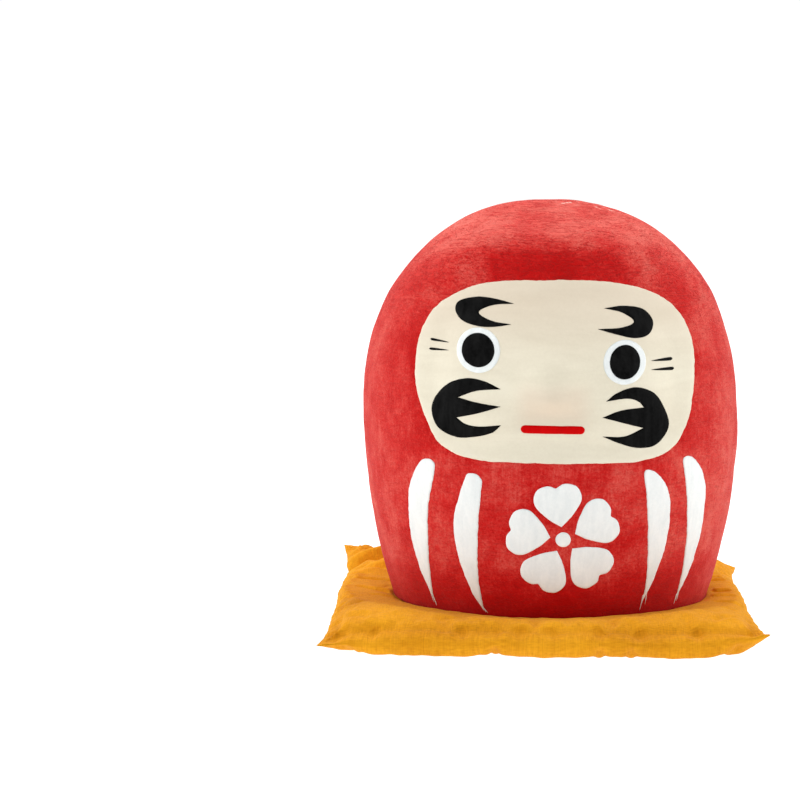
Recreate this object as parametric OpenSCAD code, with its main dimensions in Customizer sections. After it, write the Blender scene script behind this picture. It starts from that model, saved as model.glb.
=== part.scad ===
// Nesting papier-mache daruma on a cotton cushion.
// Three open-bottomed paper dolls stand one inside the next. The innermost one is closed
// and weighted with clay. Millimetres, +Z up, the faces look along -Y, and the origin is
// at the middle of the cushion's underside, on the dolls' shared axis. Left and right are
// the doll's own.

/* [Doll] */
// Height of the large doll, from its rim to its crown
doll_h = 99.5; // [90:0.5:110]
// Widest radius of the large doll
doll_r = 46.5; // [43:0.5:49]
// Height of the widest place above the rim
wide_z = 48; // [44:0.5:52]
// Roundness of the crown's outline, 2 is an ellipse
crown_power = 2.15; // [2:0.05:2.5]
// Radius of the long arc that the sides follow from the widest place to the rim
flank_r = 153; // [140:1:400]
// Thickness of the moulded paper wall
wall = 1.6; // [1.2:0.1:1.7]
// Rounding of the rim's outer edge
rim_round = 1; // [0.4:0.1:1.2]
// Thickness of one coat of paint
coat = 0.25; // [0.15:0.05:0.4]

/* [Nest] */
// Size of the medium doll as a share of the large one, small enough to pass its rim
medium_size = 0.76; // [0.6:0.01:0.76]
// Size of the small doll as a share of the large one, small enough to pass the medium's rim
small_size = 0.56; // [0.4:0.01:0.56]
// Thickness of the clay weight in the innermost doll
clay_h = 9; // [5:0.5:14]
// Thickness of the card disc that closes the innermost doll
disc_h = 1.2; // [0.8:0.1:2]

/* [Cushion] */
// Distance from corner tip to corner tip along a side
cushion_w = 108; // [100:1:116]
// How far each side is drawn in between its corners
side_in = 2; // [0:0.5:3]
// Height of the flat top that the dolls stand on
cushion_h = 6; // [5:0.5:10]
// Height of the sewn edge above the table
seam_z = 3; // [2.5:0.25:4]
// Thickness of the cotton cloth
cloth = 0.5; // [0.3:0.1:0.8]
// Radius of the flat middle of the cushion
seat_r = 41; // [40:0.5:43]

/* [Hidden] */
$fn = 96;

LARGE = 1;
MEDIUM = medium_size;
SMALL = small_size;

CROWN_STEPS = 22;    // rings from the widest place to the crown
FLANK_STEPS = 7;     // rings from the widest place down to the rim
RIM_STEPS = 3;       // rings round the rim's outer edge
CURVE_STEPS = 4;     // stretches between two points of a painted outline
OVAL_STEPS = 28;     // corners of a painted oval
CUSHION_ANGLES = 48; // places round the cushion
STUFFED = 0.92;      // share of the way to the seam that the wadding reaches

RED = "#c2282c";
RAW_PAPER = "#b9ac97";
CREAM = "#e9e0cb";
WHITE = "#f2f1ec";
BLACK = "#141414";
LIP_RED = "#cc0a12";
GOLD = "#eba51e";
WADDING = "#f4f1e8";
CLAY = "#8d6e52";

// Painted outlines, seen from the front: [across, height above the rim], or with a third
// value of 1 where the brush leaves a sharp tip or notch. A smooth curve joins the points.
FACE = [
    [-1.7, 81.3], [12, 81.1], [23.5, 78.6], [31, 73.4], [34.4, 65.5], [34.6, 56.5],
    [33.4, 48.4], [29.7, 41.6], [22, 38.8], [10, 38.5], [-6, 38.7], [-17, 39],
    [-25.6, 41.9], [-29.7, 48.8], [-32.1, 57], [-31.3, 67], [-26.6, 75.2], [-16, 80.4]
];
RIGHT_BROW = [
    [-8.5, 75.8, 1], [-13, 76.9], [-17.5, 77.2], [-21.5, 76.1], [-22.4, 73.9],
    [-20.6, 71.5], [-16.5, 70.3], [-12.5, 70.4], [-9.1, 71, 1], [-13.6, 71.7],
    [-16.8, 73.6], [-13.6, 75.3]
];
LEFT_BROW = [
    [12.9, 74.7, 1], [17.6, 75.2], [22.2, 74.3], [24.6, 71.4], [23.6, 68.4],
    [20.2, 67.6], [15.8, 68.6], [11.4, 69.9, 1], [17.4, 70.2], [20, 71.5], [17.2, 73.6]
];
RIGHT_WHISKERS = [
    [-11.4, 55.9, 1], [-15.2, 57.6], [-19.5, 58.2], [-24, 56.7], [-27.3, 53],
    [-27.9, 49.6], [-26.2, 46], [-22, 44.1], [-17.5, 44.4], [-13.5, 45.5],
    [-11.3, 47.4, 1], [-16.8, 46.9], [-19.8, 47.4], [-21.9, 48.8, 1], [-17, 50],
    [-11.4, 51.8, 1], [-16.6, 52.5], [-21.6, 53.6, 1], [-17.2, 55.3]
];
LEFT_WHISKERS = [
    [13.4, 53.1, 1], [16.2, 55.1], [20.5, 56.2], [25, 54.5], [27.8, 49.9], [28.3, 46],
    [25.4, 42.4], [21.2, 41.8], [17, 42.9], [12.6, 44.8, 1], [17.8, 44.7],
    [22.3, 46.5, 1], [17.4, 47.9], [12.6, 49.3, 1], [17, 50.9], [22.4, 51.4, 1],
    [21.1, 52.8], [18.4, 53.6]
];
RIGHT_INNER_STRIPE = [
    [-20, 34.2], [-18.2, 35.7], [-16, 34.4], [-16.1, 31], [-16.8, 22], [-16.5, 11],
    [-14.8, 1.5, 1], [-18.3, 7], [-21.6, 15.5], [-22.6, 24]
];
RIGHT_OUTER_STRIPE = [
    [-31.2, 37], [-29.2, 38.4], [-27.3, 37.3], [-27.7, 33.4], [-29, 26], [-29, 15],
    [-27.9, 3.6, 1], [-31.1, 10.5], [-33.6, 21], [-33.6, 31]
];
LEFT_INNER_STRIPE = [
    [22.8, 36.1], [25.4, 35.8], [28.3, 31.9], [29.1, 26], [28.1, 17.5], [25.2, 9],
    [22.7, 3.9, 1], [23.6, 11], [23.75, 22], [23.2, 31]
];
LEFT_OUTER_STRIPE = [
    [32.2, 38.3], [34.5, 38.5], [37.1, 34.6], [37.9, 28.5], [36.8, 18.5], [34.1, 9.8],
    [31.1, 3.7, 1], [32.8, 12.5], [33.4, 24], [32.8, 33]
];
// Each crease is its thick end, its pointed end and its widest half-thickness.
CREASES = [
    [[-28.4, 66.9], [-23.8, 66.3], 0.3], [[-28.7, 64.6], [-23.9, 64.5], 0.3],
    [[29.3, 62.4], [24.1, 62.2], 0.4], [[29.7, 60.1], [24.1, 60.1], 0.4]
];
// Each eye is its centre, the pupil's radii and the white's radii.
RIGHT_EYE = [[-16.8, 64.8], [3.9, 4.0], [5.2, 5.3]];
LEFT_EYE = [[17.8, 62.1], [3.6, 4.0], [5.05, 5.2]];
// How a crease narrows: share of its length, share of its half-thickness.
TAPER = [[0, 0], [0.06, 0.7], [0.25, 1], [0.65, 0.7], [1, 0]];
MOUTH = [[-5.7, 46.6], [7.5, 46.4], 0.95]; // two ends and half the brush width
// One petal, from the blossom's middle outwards, and the dot in the middle.
PETAL = [
    [0, 3.1, 1], [-3, 5.6], [-5.6, 9.2], [-4.8, 12.4], [-2, 13.4], [0, 12.5, 1],
    [2, 13.4], [4.8, 12.4], [5.6, 9.2], [3, 5.6]
];
BLOSSOM_CENTRE = [3.5, 20.2];
BLOSSOM_TURN = 8;
HEART_R = 1.8;

// ---- Painted outlines ----

function tangent(p, i) =
    let (n = len(p), next = p[(i + 1) % n], last = p[(i + n - 1) % n])
    (next - last) / 2;

// One point between corner i and the next one, on a curve with a break at sharp corners.
function between(p, sharp, i, t) =
    let (
        n = len(p), a = p[i], b = p[(i + 1) % n],
        ta = sharp[i] ? b - a : tangent(p, i),
        tb = sharp[(i + 1) % n] ? b - a : tangent(p, (i + 1) % n)
    )
    (2 * t ^ 3 - 3 * t ^ 2 + 1) * a + (t ^ 3 - 2 * t ^ 2 + t) * ta
        + (3 * t ^ 2 - 2 * t ^ 3) * b + (t ^ 3 - t ^ 2) * tb;

function smooth(outline) =
    let (
        p = [for (q = outline) [q[0], q[1]]],
        sharp = [for (q = outline) len(q) > 2]
    )
    [for (i = [0 : len(p) - 1]) for (s = [0 : CURVE_STEPS - 1])
        between(p, sharp, i, s / CURVE_STEPS)];

function oval(centre, half) =
    [for (i = [0 : OVAL_STEPS - 1]) let (a = 360 * (i + 0.5) / OVAL_STEPS)
        centre + [half[0] * cos(a), half[1] * sin(a)]];

// A stroke from its thick end a to its point at b, at most w to each side.
function tapered(a, b, w) =
    let (
        d = b - a, side = w * [-d[1], d[0]] / norm(d), n = len(TAPER),
        there = [for (t = TAPER) a + t[0] * d + t[1] * side],
        back = [for (i = [n - 2 : -1 : 1]) a + TAPER[i][0] * d - TAPER[i][1] * side]
    )
    concat(there, back);

module face_outline() polygon(smooth(FACE));
module pupil_outline(eye) polygon(oval(eye[0], eye[1]));
module white_outline(eye) polygon(oval(eye[0], eye[2]));
module eyebrow_outlines() {
    polygon(smooth(RIGHT_BROW));
    polygon(smooth(LEFT_BROW));
}
module whisker_outlines() {
    polygon(smooth(RIGHT_WHISKERS));
    polygon(smooth(LEFT_WHISKERS));
}
module crease_outlines() for (c = CREASES) polygon(tapered(c[0], c[1], c[2]));
module mouth_outline() {
    side = [0, MOUTH[2]];
    for (end = [MOUTH[0], MOUTH[1]]) translate(end) circle(MOUTH[2]);
    polygon([MOUTH[0] - side, MOUTH[1] - side, MOUTH[1] + side, MOUTH[0] + side]);
}
module stripe_outlines() {
    polygon(smooth(RIGHT_INNER_STRIPE));
    polygon(smooth(RIGHT_OUTER_STRIPE));
    polygon(smooth(LEFT_INNER_STRIPE));
    polygon(smooth(LEFT_OUTER_STRIPE));
}
module blossom_outline()
    translate(BLOSSOM_CENTRE) {
        for (i = [0 : 4]) rotate(72 * i + BLOSSOM_TURN) polygon(smooth(PETAL));
        circle(HEART_R);
    }

// ---- Dolls, each drawn at the large doll's size with its rim at the origin ----

// A point of the crown's outline, moved outwards by d along the surface's normal.
function crown_point(a, d) =
    let (
        e = 2 / crown_power,
        c = pow(cos(a), e), s = pow(sin(a), e),
        across = pow(c, crown_power - 1) / doll_r,
        up = pow(s, crown_power - 1) / (doll_h - wide_z),
        size = norm([across, up])
    )
    [doll_r * c + d * across / size, wide_z + (doll_h - wide_z) * s + d * up / size];

function flank_point(a, d) =
    [doll_r - flank_r * (1 - cos(a)) + d * cos(a), wide_z - (flank_r + d) * sin(a)];

function flank_radius(z, d) =
    doll_r - flank_r + sqrt((flank_r + d) ^ 2 - (wide_z - z) ^ 2);

// Half outline of the doll's skin moved outwards by d, from the crown down to the rim's
// rounding.
function skin(d) =
    let (end = asin((wide_z - rim_round) / (flank_r + d)))
    [for (i = [CROWN_STEPS : -1 : 1])
        i == CROWN_STEPS ? [0, doll_h + d] : crown_point(90 * i / CROWN_STEPS, d),
     for (i = [0 : FLANK_STEPS]) flank_point(end * i / FLANK_STEPS, d)];

// Everything inside that skin, down to height foot, which is below the rim's rounding.
module solid_skin(d, foot)
    rotate_extrude()
        polygon(concat(skin(d), [[flank_radius(rim_round, d), foot], [0, foot]]));

function rim_corner() =
    let (r = flank_radius(rim_round, 0) - rim_round)
    [for (i = [1 : RIM_STEPS]) let (a = 90 * i / RIM_STEPS)
        [r + rim_round * cos(a), rim_round * (1 - sin(a))]];

// Moulded paper shell, open at the bottom, with walls of the stated thickness.
module shell(thickness)
    difference() {
        rotate_extrude()
            polygon(concat(skin(0), rim_corner(), [[0, 0]]));
        solid_skin(-thickness, -1);
    }

// A coat of paint that covers an outline, between two depths above the paper.
module paint(inner, outer)
    intersection() {
        rotate([90, 0, 0]) linear_extrude(height = 2 * doll_r) children();
        difference() {
            solid_skin(outer, 0);
            solid_skin(inner, -1);
        }
    }

// Places a doll of a given size on the cushion.
module on_cushion(size) translate([0, 0, cushion_h]) scale(size) children();

module doll_shell(size) color(RED) on_cushion(size) shell(wall / size);
module first_coat(size, shade) color(shade) on_cushion(size) paint(0, coat / size) children();
module second_coat(size, shade)
    color(shade) on_cushion(size) paint(coat / size, 2 * coat / size) children();
module third_coat(size, shade)
    color(shade) on_cushion(size) paint(2 * coat / size, 3 * coat / size) children();

module face_ground(size) first_coat(size, CREAM) face_outline();
module eye_whites(size)
    second_coat(size, WHITE) {
        white_outline(RIGHT_EYE);
        white_outline(LEFT_EYE);
    }
module pupils(size)
    third_coat(size, BLACK) {
        pupil_outline(RIGHT_EYE);
        pupil_outline(LEFT_EYE);
    }
module one_pupil(size, eye) third_coat(size, BLACK) pupil_outline(eye);
module eyebrows(size) second_coat(size, BLACK) eyebrow_outlines();
module cheek_whiskers(size) second_coat(size, BLACK) whisker_outlines();
module eye_creases(size) second_coat(size, BLACK) crease_outlines();
module black_marks(size)
    second_coat(size, BLACK) {
        eyebrow_outlines();
        whisker_outlines();
        crease_outlines();
    }
module mouth(size) second_coat(size, LIP_RED) mouth_outline();
module robe_stripes(size) first_coat(size, WHITE) stripe_outlines();
module belly_blossom(size) first_coat(size, WHITE) blossom_outline();
module robe_marks(size)
    first_coat(size, WHITE) {
        stripe_outlines();
        blossom_outline();
    }

// The innermost doll is closed by a card disc, with a clay weight on top of it.
module plug(size, low, high)
    on_cushion(size)
        intersection() {
            solid_skin(-wall / size, -1);
            translate([0, 0, low / size]) cylinder(h = (high - low) / size, r = doll_r);
        }
module clay_weight() color(CLAY) plug(SMALL, disc_h, disc_h + clay_h);
module base_disc() color(RAW_PAPER) plug(SMALL, 0, disc_h);

// ---- Cushion ----

// The sewn outline at angle a: a square with pointed corners and drawn-in sides.
function seam_point(a) =
    let (
        fold = abs(((a + 45) % 90) - 45) / 45,
        reach = cushion_w / 2 - side_in * (1 - fold ^ 2),
        out = reach / max(abs(cos(a)), abs(sin(a)))
    )
    [out * cos(a), out * sin(a)];

function ring_point(a, s) = (1 - s) * seat_r * [cos(a), sin(a)] + s * seam_point(a);
function top_height(s) = seam_z + cloth + (cushion_h - seam_z - cloth) * sqrt(1 - s ^ 3);
function bottom_height(s) = (seam_z - cloth) * (1 - sqrt(1 - s ^ 4));

// One ring of points at share s of the way from the flat seat to the seam.
function ring(s, z) =
    [for (i = [0 : CUSHION_ANGLES - 1])
        let (a = 360 * i / CUSHION_ANGLES, p = ring_point(a, s)) [p[0], p[1], z]];

// A closed solid between two stacks of rings that go from the seat to the edge.
module between_rings(shares, top, bottom) {
    n = CUSHION_ANGLES;
    m = len(shares);
    points = concat(
        [for (j = [0 : m - 1]) each ring(shares[j], top[j])],
        [for (j = [0 : m - 1]) each ring(shares[j], bottom[j])]
    );
    below = m * n;
    faces = concat(
        [[for (i = [n - 1 : -1 : 0]) i]],
        [[for (i = [0 : n - 1]) below + i]],
        [for (j = [0 : m - 2], i = [0 : n - 1]) let (k = (i + 1) % n) each [
            [j * n + i, j * n + k, (j + 1) * n + k],
            [j * n + i, (j + 1) * n + k, (j + 1) * n + i],
            [below + j * n + i, below + (j + 1) * n + k, below + j * n + k],
            [below + j * n + i, below + (j + 1) * n + i, below + (j + 1) * n + k]]],
        [for (i = [0 : n - 1]) let (k = (i + 1) % n, last = (m - 1) * n) each [
            [last + i, last + k, below + last + k],
            [last + i, below + last + k, below + last + i]]]
    );
    polyhedron(points, faces);
}

INNER_SHARES = [0, 0.15, 0.35, 0.6, 0.8, STUFFED];
SHARES = concat(INNER_SHARES, [1]);

module top_panel()
    color(GOLD)
        between_rings(SHARES, [for (s = SHARES) top_height(s)],
            [for (s = SHARES) top_height(s) - cloth]);
module bottom_panel()
    color(GOLD)
        between_rings(SHARES, [for (s = SHARES) bottom_height(s) + cloth],
            [for (s = SHARES) bottom_height(s)]);
module wadding()
    color(WADDING)
        between_rings(INNER_SHARES, [for (s = INNER_SHARES) top_height(s) - cloth],
            [for (s = INNER_SHARES) bottom_height(s) + cloth]);

// ---- Nodes ----

top_panel();  // cushion_top_panel
bottom_panel();  // cushion_bottom_panel
wadding();  // cushion_wadding

doll_shell(LARGE);  // large_shell
face_ground(LARGE);  // large_face_ground
eye_whites(LARGE);  // large_eye_whites
one_pupil(LARGE, LEFT_EYE);  // large_left_pupil
one_pupil(LARGE, RIGHT_EYE);  // large_right_pupil
eyebrows(LARGE);  // large_eyebrows
cheek_whiskers(LARGE);  // large_cheek_whiskers
eye_creases(LARGE);  // large_eye_creases
mouth(LARGE);  // large_mouth
robe_stripes(LARGE);  // large_robe_stripes
belly_blossom(LARGE);  // large_belly_blossom

doll_shell(MEDIUM);  // medium_shell
face_ground(MEDIUM);  // medium_face_ground
eye_whites(MEDIUM);  // medium_eye_whites
pupils(MEDIUM);  // medium_pupils
black_marks(MEDIUM);  // medium_black_marks
mouth(MEDIUM);  // medium_mouth
robe_marks(MEDIUM);  // medium_robe_marks

doll_shell(SMALL);  // small_shell
face_ground(SMALL);  // small_face_ground
eye_whites(SMALL);  // small_eye_whites
pupils(SMALL);  // small_pupils
black_marks(SMALL);  // small_black_marks
mouth(SMALL);  // small_mouth
robe_marks(SMALL);  // small_robe_marks
clay_weight();  // small_clay_weight
base_disc();  // small_base_disc
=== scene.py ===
"""The looks of a nesting papier-mache daruma on a cotton cushion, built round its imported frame.

Shapes are worked out in millimetres. A doll's own frame has its rim at z = 0, its axis at
x = y = 0 and its face towards -y. It is at the large doll's size. The others are scaled from
it, with paper and paint as thick as on the large one. Meshes are in metres, in the CAD's frame.
"""

import itertools
import math

import bpy
import numpy as np
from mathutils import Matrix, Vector
from mathutils.bvhtree import BVHTree
from mathutils.geometry import delaunay_2d_cdt


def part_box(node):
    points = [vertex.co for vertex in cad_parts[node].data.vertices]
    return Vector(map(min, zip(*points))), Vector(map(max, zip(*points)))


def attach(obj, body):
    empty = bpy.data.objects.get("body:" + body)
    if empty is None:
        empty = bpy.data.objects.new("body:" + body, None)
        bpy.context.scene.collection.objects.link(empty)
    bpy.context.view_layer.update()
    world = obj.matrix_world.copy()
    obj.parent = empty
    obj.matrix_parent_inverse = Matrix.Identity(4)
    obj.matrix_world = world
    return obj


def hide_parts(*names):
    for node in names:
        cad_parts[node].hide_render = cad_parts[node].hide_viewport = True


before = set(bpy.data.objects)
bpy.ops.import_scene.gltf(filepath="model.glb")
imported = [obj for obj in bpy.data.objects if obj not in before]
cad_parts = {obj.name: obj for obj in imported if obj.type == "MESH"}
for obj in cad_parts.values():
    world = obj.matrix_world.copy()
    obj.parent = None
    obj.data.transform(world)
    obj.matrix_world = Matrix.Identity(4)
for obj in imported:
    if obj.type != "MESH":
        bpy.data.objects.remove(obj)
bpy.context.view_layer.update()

MM = 0.001

# ---- Dimensions ----


def extent(node):
    """Lowest and highest corner of a CAD node, in millimetres."""
    low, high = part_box(node)
    return np.array(low) / MM, np.array(high) / MM


LARGE_LOW, LARGE_HIGH = extent("large_shell")
DOLL_H = LARGE_HIGH[2] - LARGE_LOW[2]
DOLL_R = (LARGE_HIGH[0] - LARGE_LOW[0]) / 2
DOLL_Y = (LARGE_HIGH[1] + LARGE_LOW[1]) / 2
REST_Z = LARGE_LOW[2]
WIDE_Z = 48.0  # height of the widest place
CROWN_POWER = 2.15  # roundness of the crown, 2 is an ellipse
FLANK_R = 153.0  # radius of the arc of the sides
WALL = 1.6  # thickness of the paper
RIM_ROUND = 1.0  # radius of the rim's outer edge
COAT = 0.16  # thickness of one coat of paint
PAINT_ROUND = 0.3  # how far from its edge paint is at its full thickness
PAINT_RIM = 0.4  # thickness of paint at its edge, as a share of the whole
PAINT_SINK = 0.12  # how far paint reaches into the paper
CUSHION_LOW, CUSHION_HIGH = extent("cushion_top_panel")
CUSHION_HALF = CUSHION_HIGH[0]


def size_of(doll):
    """Size of a doll as a share of the large one."""
    low, high = extent(f"{doll}_shell")
    return (high[2] - low[2]) / DOLL_H


# ---- Painted outlines, seen from the front ----
# Each point is (across, height above the rim). A third value of 1 marks a sharp tip or notch.

FACE = [
    (-1.7, 81.3), (12, 81.1), (23.5, 78.6), (31, 73.4), (34.4, 65.5), (34.6, 56.5),
    (33.4, 48.4), (29.7, 41.6), (22, 38.8), (10, 38.5), (-6, 38.7), (-17, 39),
    (-25.6, 41.9), (-29.7, 48.8), (-32.1, 57), (-31.3, 67), (-26.6, 75.2), (-16, 80.4),
]
RIGHT_BROW = [
    (-8.5, 75.8, 1), (-13, 76.9), (-17.5, 77.2), (-21.5, 76.1), (-22.4, 73.9),
    (-20.6, 71.5), (-16.5, 70.3), (-12.5, 70.4), (-9.1, 71, 1), (-13.6, 71.7),
    (-16.8, 73.6), (-13.6, 75.3),
]
LEFT_BROW = [
    (12.9, 74.7, 1), (17.6, 75.2), (22.2, 74.3), (24.6, 71.4), (23.6, 68.4), (20.2, 67.6),
    (15.8, 68.6), (11.4, 69.9, 1), (17.4, 70.2), (20, 71.5), (17.2, 73.6),
]
RIGHT_WHISKERS = [
    (-11.4, 55.9, 1), (-15.2, 57.6), (-19.5, 58.2), (-24, 56.7), (-27.3, 53),
    (-27.9, 49.6), (-26.2, 46), (-22, 44.1), (-17.5, 44.4), (-13.5, 45.5),
    (-11.3, 47.4, 1), (-16.8, 46.9), (-19.8, 47.4), (-21.9, 48.8, 1), (-17, 50),
    (-11.4, 51.8, 1), (-16.6, 52.5), (-21.6, 53.6, 1), (-17.2, 55.3),
]
LEFT_WHISKERS = [
    (13.4, 53.1, 1), (16.2, 55.1), (20.5, 56.2), (25, 54.5), (27.8, 49.9), (28.3, 46),
    (25.4, 42.4), (21.2, 41.8), (17, 42.9), (12.6, 44.8, 1), (17.8, 44.7), (22.3, 46.5, 1),
    (17.4, 47.9), (12.6, 49.3, 1), (17, 50.9), (22.4, 51.4, 1), (21.1, 52.8), (18.4, 53.6),
]
STRIPES = [
    [
        (-20, 34.2), (-18.2, 35.7), (-16, 34.4), (-16.1, 31), (-16.8, 22), (-16.8, 10.5),
        (-15.4, 1.7, 1), (-18.6, 7), (-21.6, 15.5), (-22.6, 24),
    ],
    [
        (-31.2, 37), (-29.2, 38.4), (-27.3, 37.3), (-27.7, 33.4), (-29, 26), (-29, 15),
        (-27.9, 3.6, 1), (-31.1, 10.5), (-33.6, 21), (-33.6, 31),
    ],
    [
        (22.8, 36.1), (25.4, 35.8), (28.3, 31.9), (29.1, 26), (28.1, 17.5), (25.2, 9),
        (22.7, 3.9, 1), (23.6, 11), (23.75, 22), (23.2, 31),
    ],
    [
        (32.2, 38.3), (34.5, 38.5), (37.1, 34.6), (37.9, 28.5), (36.8, 18.5), (34.1, 9.8),
        (31.1, 3.7, 1), (32.8, 12.5), (33.4, 24), (32.8, 33),
    ],
]
# Each hair of a dry brush is its thick end, its pointed end and its widest half-thickness.
STRIPE_HAIRS = [
    ((-29, 6.2), (-27.7, 2.2), 0.13), ((-28.2, 4.6), (-27, 1.5), 0.15),
    ((-16.4, 4.4), (-14.9, 1.2), 0.12), ((-16, 2.9), (-14.4, 1.1), 0.14),
    ((23.9, 7.5), (23.3, 2.8), 0.12), ((22.9, 5.5), (22, 1.4), 0.15),
    ((31.9, 6.4), (31.2, 2.6), 0.12), ((31.3, 4.6), (30.5, 1.9), 0.13),
]
PETAL = [
    (0, 3.1, 1), (-3, 5.6), (-5.6, 9.2), (-4.8, 12.4), (-2, 13.4), (0, 12.5, 1),
    (2, 13.4), (4.8, 12.4), (5.6, 9.2), (3, 5.6),
]
BLOSSOM_CENTRE = (3.5, 20.2)
BLOSSOM_TURN = 8
HEART_R = 1.8
# Each eye is its centre, the pupil's radii and the white's radii.
RIGHT_EYE = ((-16.8, 64.8), (3.9, 4.0), (5.2, 5.3))
LEFT_EYE = ((17.8, 62.1), (3.6, 4.0), (5.05, 5.2))
# Each crease is its thick end, its pointed end and its widest half-thickness.
CREASES = [
    ((-28.4, 66.9), (-23.8, 66.3), 0.3), ((-28.7, 64.6), (-23.9, 64.5), 0.3),
    ((29.3, 62.4), (24.1, 62.2), 0.4), ((29.7, 60.1), (24.1, 60.1), 0.4),
]
MOUTH = ((-5.7, 46.6), (7.5, 46.4), 0.95)

SCUFFS = (4.3, 12.9)  # places across where the crown's paint is rubbed white

CURVE_STEPS = 12


def distances(points):
    """How far along a row of points each of them is."""
    return np.r_[0, np.cumsum(np.linalg.norm(np.diff(points, axis=0), axis=1))]


def resampled(points, along, at):
    """Points at other distances along a row of points."""
    return np.stack([np.interp(at, along, column) for column in np.transpose(points)], 1)


def between(t, a, b, leaving, arriving):
    """Cubic curve from a to b at shares t, from its directions at both ends."""
    return ((2 * t**3 - 3 * t**2 + 1) * a + (t**3 - 2 * t**2 + t) * leaving
            + (3 * t**2 - 2 * t**3) * b + (t**3 - t**2) * arriving)


def smooth(outline):
    """Points on a closed curve through an outline, with breaks at its sharp points."""
    p = np.array([q[:2] for q in outline], float)
    sharp = [len(q) > 2 for q in outline]
    n = len(p)
    t = np.linspace(0, 1, CURVE_STEPS, endpoint=False)[:, None]
    pieces = []
    for i in range(n):
        k = (i + 1) % n
        a, b = p[i], p[k]
        ta = b - a if sharp[i] else (b - p[i - 1]) / 2
        tb = b - a if sharp[k] else (p[(k + 1) % n] - a) / 2
        pieces.append(between(t, a, b, ta, tb))
    return np.concatenate(pieces)


def oval(centre, radii, steps=72):
    a = np.arange(steps) * 2 * math.pi / steps
    return np.array(centre) + np.c_[radii[0] * np.cos(a), radii[1] * np.sin(a)]


def bar(start, end, half):
    """A brush stroke with round ends."""
    start, end = np.array(start), np.array(end)
    turn = math.atan2(*(end - start)[::-1])
    a = np.linspace(-math.pi / 2, math.pi / 2, 12) + turn
    cap = half * np.c_[np.cos(a), np.sin(a)]
    return np.concatenate([end + cap, start - cap])


def tapered(start, end, half):
    """A thin stroke from its thick round end to its point."""
    start, end = np.array(start), np.array(end)
    along = end - start
    side = np.array([-along[1], along[0]]) / np.linalg.norm(along)
    t = np.linspace(0, 1, 24) ** 1.5
    width = half * np.minimum(1, 3.5 * np.sqrt(t)) * (1 - t**1.6) ** 0.8
    there = start + t[:, None] * along + width[:, None] * side
    back = start + t[:, None] * along - width[:, None] * side
    return np.concatenate([there, back[-2:0:-1]])


def blossom():
    shapes = [oval(BLOSSOM_CENTRE, (HEART_R, HEART_R), 40)]
    petal = smooth(PETAL)
    for i in range(5):
        a = math.radians(72 * i + BLOSSOM_TURN)
        turn = np.array([[math.cos(a), math.sin(a)], [-math.sin(a), math.cos(a)]])
        shapes.append(np.array(BLOSSOM_CENTRE) + petal @ turn)
    return shapes


def distance_inside(points, outline):
    """Signed distance of each point to a closed outline, positive inside it."""
    a, b = outline, np.roll(outline, -1, 0)
    nearest = np.full(len(points), 1e9)
    inside = np.zeros(len(points), bool)
    for p, q in zip(a, b):
        d = q - p
        t = np.clip(((points - p) @ d) / max(d @ d, 1e-12), 0, 1)
        nearest = np.minimum(nearest, np.linalg.norm(points - p - t[:, None] * d, axis=1))
        if q[1] != p[1]:
            above = (p[1] > points[:, 1]) != (q[1] > points[:, 1])
            x = p[0] + (points[:, 1] - p[1]) / (q[1] - p[1]) * d[0]
            inside ^= above & (points[:, 0] < x)
    return np.where(inside, nearest, -nearest)


# ---- Noise and steps ----


def grain(points, size, seed=0):
    """Smooth random values from -1 to 1 at points, with bumps about size wide."""
    q = np.atleast_2d(points) / size + 19.7 * seed
    cell = np.floor(q).astype(np.int64)
    f = q - cell
    f = f * f * (3 - 2 * f)
    total = np.zeros(len(q))
    for corner in itertools.product((0, 1), repeat=q.shape[1]):
        h = np.zeros(len(q), np.int64)
        weight = np.ones(len(q))
        for axis, (c, prime) in enumerate(zip(corner, (73856093, 19349663, 83492791))):
            h ^= (cell[:, axis] + c) * prime
            weight = weight * (f[:, axis] if c else 1 - f[:, axis])
        h = (h ^ (h >> 13)) * 1274126177 & 0x7FFFFFFF
        h = (h ^ (h >> 16)) & 0xFFFF
        total += weight * (h / 32767.5 - 1)
    return total


def step(x, start, end):
    """0 before start, 1 after end, and smooth between them. It falls if end < start."""
    t = np.clip((x - start) / (end - start), 0, 1)
    return t * t * (3 - 2 * t)


def rounded(x):
    """A quarter circle: upright at 0, level at 1, and 1 from there on."""
    return np.sqrt(1 - (1 - np.clip(x, 0, 1)) ** 2)


# ---- The doll's form ----


def crown_outline(steps):
    """The crown from its top to the widest place: points and outward normals."""
    a = np.linspace(math.pi / 2, 0, steps)
    c, s = np.maximum(np.cos(a), 0) ** (2 / CROWN_POWER), np.sin(a) ** (2 / CROWN_POWER)
    c[0] = 0
    high = DOLL_H - WIDE_Z
    points = np.c_[DOLL_R * c, WIDE_Z + high * s]
    normals = np.c_[c ** (CROWN_POWER - 1) / DOLL_R, s ** (CROWN_POWER - 1) / high]
    return points, normals / np.linalg.norm(normals, axis=1)[:, None]


def flank_outline(low, steps):
    """The side from the widest place down to height low."""
    a = np.linspace(0, math.asin((WIDE_Z - low) / FLANK_R), steps)[1:]
    points = np.c_[DOLL_R - FLANK_R * (1 - np.cos(a)), WIDE_Z - FLANK_R * np.sin(a)]
    return points, np.c_[np.cos(a), -np.sin(a)]


def outer_outline(spacing):
    """Evenly spaced points, normals and arc lengths from the crown down to the rim."""
    crown, flank = crown_outline(400), flank_outline(RIM_ROUND, 200)
    points = np.concatenate([crown[0], flank[0]])
    normals = np.concatenate([crown[1], flank[1]])
    along = distances(points)
    s = np.linspace(0, along[-1], int(along[-1] / spacing) + 1)
    normals = resampled(normals, along, s)
    return resampled(points, along, s), normals / np.linalg.norm(normals, axis=1)[:, None], s


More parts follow.
